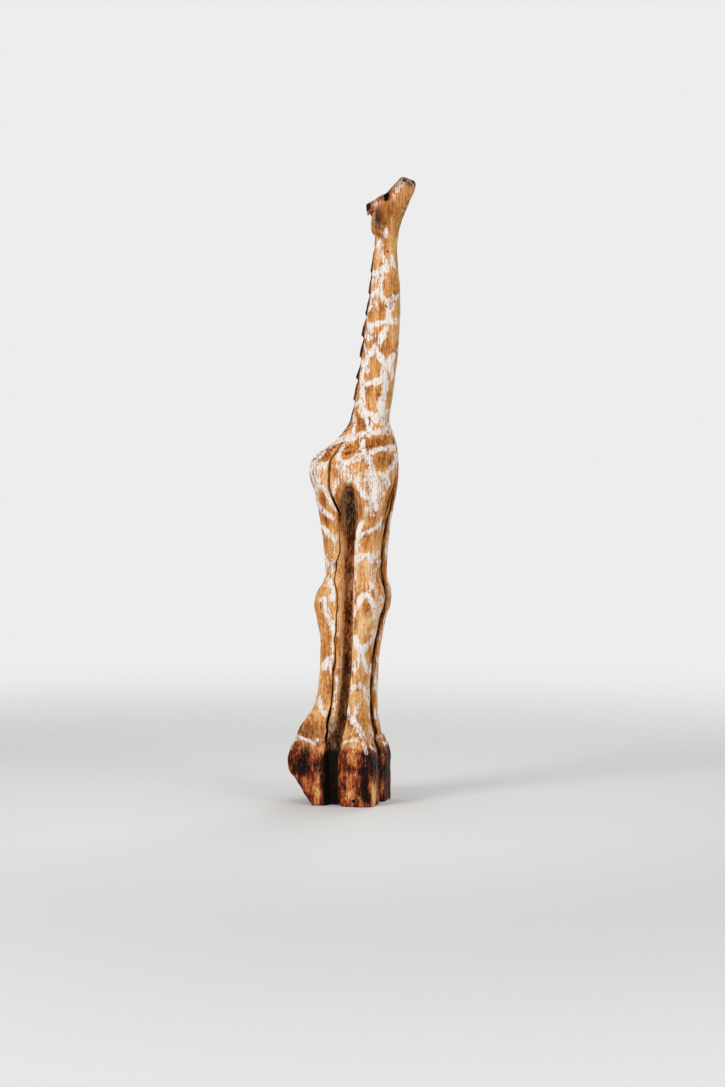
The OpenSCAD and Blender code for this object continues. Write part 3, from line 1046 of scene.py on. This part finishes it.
def timber(name, tones, rough=0.62):
    """Larch cut across its grain with a gouge, then coated with whatever lies on it.

    tones: the wood from its darkest latewood to its palest earlywood.
    """
    material = bpy.data.materials.new(name)
    material.use_nodes = True
    t = material.node_tree
    shader = t.nodes["Principled BSDF"]
    place = add(t, "TexCoord", out="Object")
    f = {}
    for kind, (across, along, detail) in FIGURE.items():
        per_metre = (1000 / across, 1000 / across, 1000 / along)
        spread = add(t, "VectorMath", {0: place, 1: per_metre}, operation="MULTIPLY")
        uneven = add(t, "TexNoise", {"Vector": spread, "Scale": 1.0, "Detail": detail, "Roughness": 0.6})
        f[kind] = add(t, "Math", {0: uneven, 1: 0.5}, operation="SUBTRACT")
    fibre, cord, fleck, dapple, blotch, streak, patch = f.values()
    on = {layer: add(t, "Attribute", out="Fac", attribute_name=layer) for layer in LAYERS}

    # Growth rings 6 mm apart round the pith show as long arcs where the gouge cut across them.
    across_rings = add(t, "VectorMath", {0: place, 1: (1, 1, 0.2)}, operation="MULTIPLY")
    waves = {"Vector": across_rings, "Scale": 52.0, "Distortion": 9.0, "Detail": 3.0, "Detail Scale": 0.5}
    rings = add(t, "TexWave", waves, out="Fac", wave_type="RINGS", rings_direction="Z")
    ring_lines = add(t, "Math", {0: [(rings, 1.0), (1.0, -0.5)], 1: on["end_grain"]}, operation="MULTIPLY")
    grain = [(fibre, 0.7), (fleck, 0.66), (cord, 0.62), (blotch, 0.72), (dapple, 0.58)]
    grain += [(rings, 0.05), (ring_lines, 0.18), (on["tone"], 0.2)]
    grain = add(t, "Math", {0: grain, 1: 0.475}, operation="ADD")
    mottle = [(grain, 1.2), (fleck, 0.7), (dapple, 0.6), (1.0, -0.1)]
    heat = [(streak, 0.8), (patch, 1.2), (fibre, 0.7), (fleck, 0.6), (dapple, 0.4), (on["tone"], 0.3)]
    heat += [(1.0, 0.46)]
    pitted = [(fleck, 1.0), (dapple, 0.5), (blotch, 0.4)]

    # What lies on the wood, from the wood up: (where it lies, where it starts, where it is whole, how
    # thick it is, what shades it, its colours from dark to pale).
    coats = {
        # surfaces that face forward are painted paler yellow: painted light, for the way the light falls on
        # them
        "sunned": ([(on["sunned"], 1.0), (blotch, 1.8), (dapple, 1.2)], 0.3, 1.1, 0.55, grain,
                   ((0.2, "855623"), (0.5, "cb9b53"), (0.8, "ecd08c"))),
        # torn grain leaves short dark pits, in drifts
        "pits": (pitted, 0.16, 0.28, 0.68, grain, ((0.2, "4f230c"), (0.8, "7d431c"))),
        # stain lies in the grooves; in the slot between the left and right legs the darkening is painted
        # shade
        "stain": ([(on["stain"], 1.0), (cord, 1.0), (dapple, 0.9), (fleck, 0.5)], 0.25, 0.85, 0.95, mottle,
                  ((0.2, "2c0d03"), (0.42, "6f2f13"), (0.6, "9c5829"), (0.85, "d39c66"))),
        # fire-blackened hooves: streaks 9 mm wide and 60 mm long, scorched right through in places
        "char": ([(on["char"], 1.0), (streak, 1.1), (patch, 0.6)], 0.2, 0.8, 1.0, heat,
                 ((0.2, "0f0502"), (0.36, "2e1008"), (0.48, "762f16"), (0.61, "a85329"), (0.73, "c98047"),
                  (0.88, "e8b878"))),
        # the deepest hollows are almost black: stain on the groove floors and in the belly hollow, painted
        # shade in the slot between the left and right legs
        "hollow": ([(on["hollow"], 1.0), (cord, 1.2), (dapple, 1.7), (fleck, 0.9)], 0.15, 1.1, 0.97, mottle,
                   ((0.2, "0c0502"), (0.5, "352011"), (0.8, "7f5c38"))),
        # grey weathered wood, with its dark pores
        "silver": ([(on["silver"], 1.0), (fleck, 1.6), (dapple, 1.2), (fibre, 1.0)], 0.25, 0.85, 0.75, mottle,
                   ((0.25, "21150e"), (0.5, "6d5444"), (0.8, "b7a596"))),
        # drying checks are painted near black inside, painted shade for their depth, with a brown edge
        "check": ([(on["check"], 1.0), (fibre, -3.0), (fleck, -2.0)], 1.2, -0.2, 0.97, grain,
                  ((0.2, "0a0402"), (0.8, "1c0d06"))),
        "soot": ([(on["soot"], 1.0), (fleck, 0.9), (dapple, 0.9)], 0.35, 0.75, 0.97, grain,
                 ((0.2, "070302"), (0.8, "120a07"))),
    }
    wood = add(t, "ValToRGB", {"Fac": grain}, stops=tuple(zip((0.12, 0.32, 0.5, 0.66, 0.84), tones)))
    lies = {}
    for coat, (where, starts, whole, thick, shade, colours) in coats.items():
        ends = {"Value": where, "From Min": starts, "From Max": whole, "To Max": thick}
        lies[coat] = add(t, "MapRange", ends, interpolation_type="SMOOTHSTEP")
        shaded = add(t, "ValToRGB", {"Fac": shade}, stops=colours)
        wood = add(t, "Mix", {0: lies[coat], 6: wood, 7: shaded}, out=2, data_type="RGBA")

    # Whitewash from a stiff brush: it breaks up along the fibres, thins where the brush was dry, and
    # leaves the pits bare.
    ragged = [(on["brush"], 1.0), (fleck, 7.0), (cord, 5.0), (fibre, 7.0), (dapple, 5.0)]
    wet = [(on["load"], 1.0), (fibre, 2.1), (fleck, 1.9), (dapple, 1.3), (blotch, 0.9)]
    cover = 1.0
    for amount, starts, whole, low, high in (
        (ragged, -1.9, 3.0, 0.0, 1.0), (wet, 0.1, 0.98, 0.0, 0.96), (pitted, 0.13, 0.25, 1.0, 0.2),
    ):
        ends = {"Value": amount, "From Min": starts, "From Max": whole, "To Min": low, "To Max": high}
        part = add(t, "MapRange", ends, interpolation_type="SMOOTHSTEP")
        cover = add(t, "Math", {0: part, 1: cover}, operation="MULTIPLY")
    lime = [(fleck, 0.8), (fibre, 0.8), (dapple, 0.6), (1.0, 0.5)]
    white = add(t, "ValToRGB", {"Fac": lime}, stops=((0.25, "c3ab95"), (0.45, "ece3da"), (0.7, "faf6f2")))
    painted = add(t, "Mix", {0: cover, 6: wood, 7: white}, out=2, data_type="RGBA")
    t.links.new(painted, shader.inputs["Base Color"])

    relief = [(fibre, 0.8), (fleck, 0.5), (cord, 0.9), (rings, 0.15), (cover, 0.3), (lies["pits"], -0.3)]
    bump = add(t, "Bump", {"Height": relief, "Strength": 0.8, "Distance": 0.0014})
    t.links.new(bump, shader.inputs["Normal"])
    # Scorched wood is a little glassy, and whitewash is dead matt.
    worn = add(t, "Math", {0: [(lies["char"], -0.12), (fibre, 0.3), (cover, 0.1)], 1: rough}, operation="ADD")
    t.links.new(worn, shader.inputs["Roughness"])
    shader.inputs["IOR"].default_value = 1.5
    shader.inputs["Specular IOR Level"].default_value = 0.1
    return material


# Larch, shaped with a gouge and left bare: warm orange-brown, striped along the log by dark latewood,
# with a dull silky surface that catches the light on each ridge.
LARCH = ("6b3110", "a8622a", "cf8d4c", "e8b276", "f5d4a8")
FINISHES = {
    "carved_wood": timber("gouge_carved_larch", LARCH),
    # Larch rubbed with a thin maroon stain: nearly black in the pores, with the wood glowing through red.
    "stained_mane": timber("maroon_stained_larch", ("1c0a08", "3a1713", "53241c", "6e3a2c", "8a5a44")),
    # Larch left rough from the chisel at the bottom of a groove: torn, dull and dirty.
    "dark_recess": timber("rough_cut_stained_larch", ("4a200b", "824a1e", "b3743c", "cf9860", "e6bd8a"), 0.7),
    # Larch wiped with a red-brown stain that went patchy grey.
    "horn_wood": timber("red_stained_larch", ("2e130a", "5f2f18", "8a4f2e", "b57a50", "d9ab84")),
    # Larch held in a fire: black and glossy where it charred, red-brown and ochre where it was spared.
    "scorched_hoof": timber("fire_blackened_larch", LARCH, 0.6),
}
# Each piece's slot, by its name or by the last word of it. All the others are plain carved wood.
SLOTS = {"mane": "stained_mane", "tail": "stained_mane", "leg_web": "dark_recess", "horn": "horn_wood"}
SLOTS["hoof"] = "scorched_hoof"


# ---------------------------------------------------------------- making the pieces

log = carve(fused_solids())
checks = open_checks(log)
skin = log_tree(log)
strokes, cracks = stroke_marks(skin), check_marks(checks)
for name, piece in split(log).items():
    slot = SLOTS.get(name, SLOTS.get(name.split("_")[-1], "carved_wood"))
    piece.name = name + "_carved"
    paint_layers(piece, strokes, cracks)
    piece.data.materials.clear()
    piece.data.materials.append(FINISHES[slot])
    piece.data.shade_smooth()
    piece.data.set_sharp_from_angle(angle=math.radians(50))
    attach(piece, "root")
    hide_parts(name)


# ---------------------------------------------------------------- floor and light


def matt(name, code):
    """A plain matt surface whose outer part fades into the room."""
    material = bpy.data.materials.new(name)
    material.use_nodes = True
    t = material.node_tree
    shader = t.nodes["Principled BSDF"]
    shader.inputs["Base Color"].default_value = srgb(code)
    shader.inputs["Roughness"].default_value = 0.9
    place = add(t, "TexCoord", out="Object")
    far = add(t, "VectorMath", {0: place}, out="Value", operation="LENGTH")
    ends = {"Value": far, "From Min": 0.5, "From Max": 3.4, "To Min": 1.0, "To Max": 0.0}
    t.links.new(add(t, "MapRange", ends, interpolation_type="SMOOTHSTEP"), shader.inputs["Alpha"])
    return material


floor = prism("floor", [(-8000, -40), (8000, -40), (8000, 0), (-8000, 0)], -8000, 8000)
floor.data.materials.append(matt("pale_floor", "e4e4e2"))

world = bpy.data.worlds.new("pale_room")
scene.world = world
world.use_nodes = True
t = world.node_tree
sky = t.nodes["Background"]
sky.inputs["Color"].default_value = srgb("ededee")
is_camera = add(t, "LightPath", out="Is Camera Ray")
strength = add(t, "MapRange", {"Value": is_camera, "To Min": 0.62, "To Max": 1.0})
t.links.new(strength, sky.inputs["Strength"])


def softbox(name, place, power, size):
    """A round soft light, turned to the middle of the statue: power in watts, size in metres."""
    lamp = bpy.data.objects.new(name, bpy.data.lights.new(name, "AREA"))
    lamp.data.shape = "DISK"
    lamp.data.energy = power
    lamp.data.size = size
    lamp.location = place
    lamp.rotation_euler = (Vector((0, 0, 0.7)) - lamp.location).to_track_quat("-Z", "Y").to_euler()
    scene.collection.objects.link(lamp)


softbox("key", Vector((-1.9, -3.0, 2.4)), 70, 1.6)
softbox("fill", Vector((3.0, -2.4, 1.6)), 33, 2.0)
softbox("back", Vector((0.5, 3.2, 2.8)), 34, 2.0)
